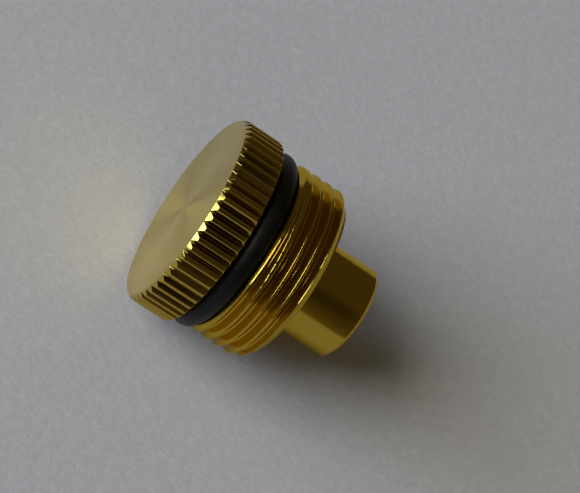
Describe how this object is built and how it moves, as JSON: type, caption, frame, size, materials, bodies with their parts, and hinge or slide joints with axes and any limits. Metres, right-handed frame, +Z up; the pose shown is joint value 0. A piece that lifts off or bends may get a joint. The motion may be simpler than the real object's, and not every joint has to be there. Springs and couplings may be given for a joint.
{
  "type": "automatic air vent",
  "caption": "Brass screw-in radiator air vent: knurled knob over a threaded body with an O-ring and a plain spigot, holding a hygroscopic disc pack and a check valve.",
  "frame": {"origin": "on the axis at the mouth of the threaded tapping, where the thread starts under the O-ring", "axes": "+X along the axis out of the radiator, towards the knob's face; +Z up, as installed in a radiator's end tapping"},
  "size_m": [0.0272, 0.0282, 0.0282],
  "materials": {
    "polished_brass": "bright turned face, rolled knurl",
    "turned_brass": "bright turned, cut thread",
    "black_rubber": "satin moulded nitrile",
    "seal_rubber": "matt EPDM sheet",
    "inner_brass": "fine turned",
    "spring_steel": "drawn stainless wire",
    "strainer_steel": "punched stainless sheet",
    "disc_fibre": "pressed cellulose fibre"
  },
  "bodies": {
    "vent_body": {"vent_body": "turned_brass", "tapping_o_ring": "black_rubber", "poppet_spring": "spring_steel", "spring_retainer": "inner_brass", "inlet_strainer": "strainer_steel", "circlip": "spring_steel"},
    "cartridge": {"spindle": "inner_brass", "bottom_washer": "inner_brass", "hygroscopic_disc_1": "disc_fibre", "hygroscopic_disc_2": "disc_fibre", "hygroscopic_disc_3": "disc_fibre", "hygroscopic_disc_4": "disc_fibre", "hygroscopic_disc_5": "disc_fibre", "hygroscopic_disc_6": "disc_fibre", "hygroscopic_disc_7": "disc_fibre", "hygroscopic_disc_8": "disc_fibre", "top_washer": "inner_brass", "seat_seal": "seal_rubber"},
    "knob": {"knurled_knob": "polished_brass", "knob_seal_o_ring": "black_rubber", "snap_ring": "spring_steel"},
    "check_valve": {"check_poppet": "inner_brass", "poppet_seal": "seal_rubber"}
  },
  "joints": [
    {"name": "cartridge_lift", "type": "slide", "parent": "vent_body", "child": "cartridge", "axis": [1, 0, 0], "range_m": [0, 0.001]},
    {"name": "knob_turn", "type": "hinge", "parent": "cartridge", "child": "knob", "pos_m": [0, 0, 0], "axis": [1, 0, 0], "range_deg": [0, 360]},
    {"name": "check_valve_close", "type": "slide", "parent": "vent_body", "child": "check_valve", "axis": [1, 0, 0], "range_m": [0, 0.001], "deforming": ["poppet_spring"]}
  ],
  "couplings": [
    {"joint": "knob_turn", "follows": "cartridge_lift", "rad_per_m": 6283.2},
    {"joint": "check_valve_close", "follows": "cartridge_lift", "ratio": 1}
  ]
}
